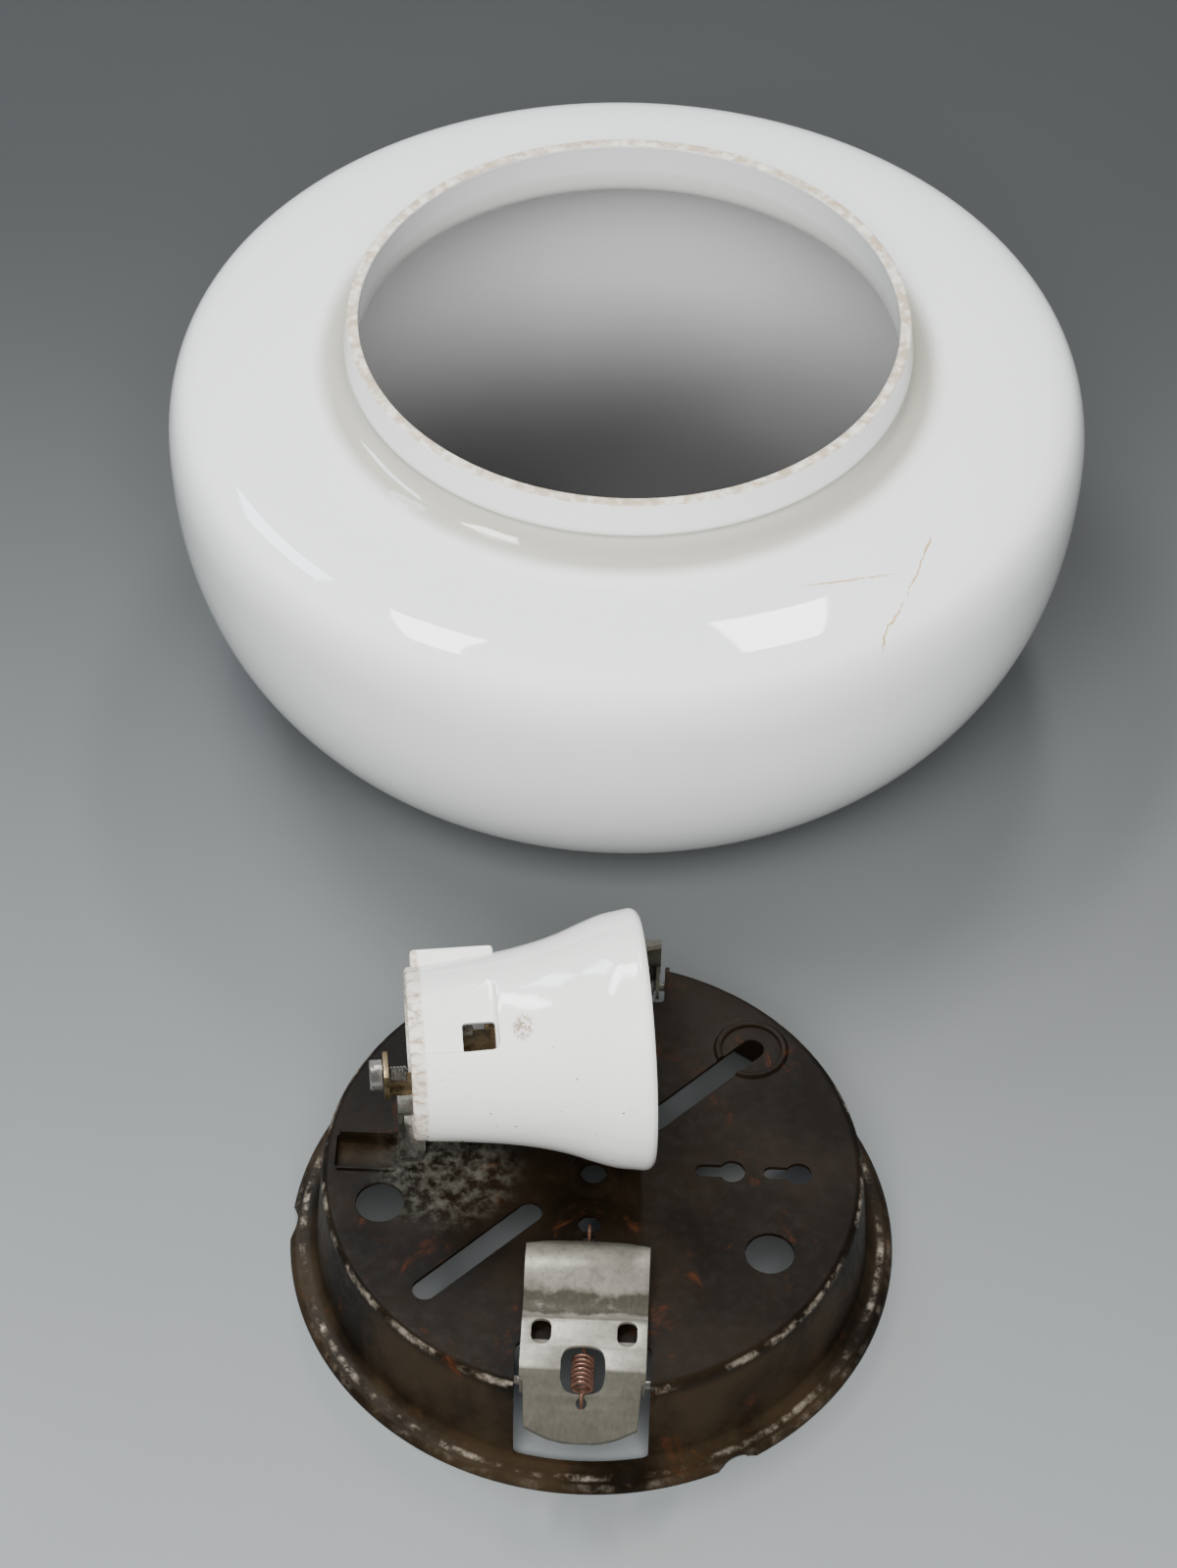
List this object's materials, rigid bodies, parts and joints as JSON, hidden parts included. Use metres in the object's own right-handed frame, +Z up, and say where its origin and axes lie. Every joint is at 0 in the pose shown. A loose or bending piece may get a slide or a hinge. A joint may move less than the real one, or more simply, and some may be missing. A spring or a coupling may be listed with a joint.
{
  "type": "flush ceiling light with porcelain lampholder",
  "caption": "Ceiling light laid out in two pieces: an opal glass bowl standing mouth up, and a pressed steel ceiling plate with a porcelain screw lampholder and sprung clips.",
  "frame": {"origin": "on the bench, under the middle of the box round the whole layout", "axes": "+X along the clips' pivots, +Y from the ceiling plate to the shade, +Z up"},
  "size_m": [0.249, 0.4158, 0.118],
  "materials": {
    "opal_glass": "glossy opal-white blown glass, ground rim",
    "porcelain": "white glaze, unglazed ends stained brown",
    "brown_steel": "brown lacquered sheet steel, worn and rusty at its bends",
    "zinc_steel": "dull zinc-plated sheet steel",
    "copper_wire": "copper-washed spring wire",
    "brass": "tarnished brass",
    "bright_steel": "bright steel, slightly tarnished"
  },
  "bodies": {
    "ceiling_plate": {"ceiling_plate": "brown_steel", "lampholder_bracket": "zinc_steel", "bracket_rivet_1": "bright_steel", "bracket_rivet_2": "bright_steel", "bracket_screw": "bright_steel", "lampholder_body": "porcelain", "contact_block": "porcelain", "body_screw_1": "bright_steel", "body_screw_2": "bright_steel", "screw_shell": "brass", "shell_rivet": "brass", "live_terminal": "brass", "live_rivet": "brass", "shell_terminal": "brass", "front_pivot_a": "bright_steel", "front_pivot_b": "bright_steel", "back_pivot_a": "bright_steel", "back_pivot_b": "bright_steel", "front_clip_spring": "copper_wire", "back_clip_spring": "copper_wire"},
    "front_clip": {"front_clip": "zinc_steel"},
    "back_clip": {"back_clip": "zinc_steel"},
    "centre_contact": {"centre_contact": "brass"},
    "live_terminal_screw": {"live_terminal_screw": "bright_steel"},
    "shell_terminal_screw": {"shell_terminal_screw": "bright_steel"},
    "glass_shade": {"glass_shade": "opal_glass"}
  },
  "joints": [
    {"name": "front_clip_hinge", "type": "hinge", "parent": "ceiling_plate", "child": "front_clip", "pos_m": [0, -0.19255, 0.0255], "axis": [1, 0, 0], "range_deg": [0, 170], "deforming": ["front_clip_spring"]},
    {"name": "back_clip_hinge", "type": "hinge", "parent": "ceiling_plate", "child": "back_clip", "pos_m": [0, -0.07155, 0.0255], "axis": [-1, 0, 0], "range_deg": [0, 116], "deforming": ["back_clip_spring"]},
    {"name": "centre_contact_flex", "type": "hinge", "parent": "ceiling_plate", "child": "centre_contact", "pos_m": [-0.01658, -0.12639, 0.06], "axis": [0.0872, -0.6449, 0.7593], "range_deg": [0, 6], "stiffness_Nm_per_rad": 0.05},
    {"name": "live_terminal_screw_slide", "type": "slide", "parent": "ceiling_plate", "child": "live_terminal_screw", "axis": [-0.991, -0.134, 0], "range_m": [0, 0.003]},
    {"name": "shell_terminal_screw_slide", "type": "slide", "parent": "ceiling_plate", "child": "shell_terminal_screw", "axis": [-0.991, -0.134, 0], "range_m": [0, 0.003]},
    {"name": "glass_shade_lift", "type": "slide", "parent": "ceiling_plate", "child": "glass_shade", "axis": [0, 0, 1], "range_m": [0, 0.15]}
  ]
}
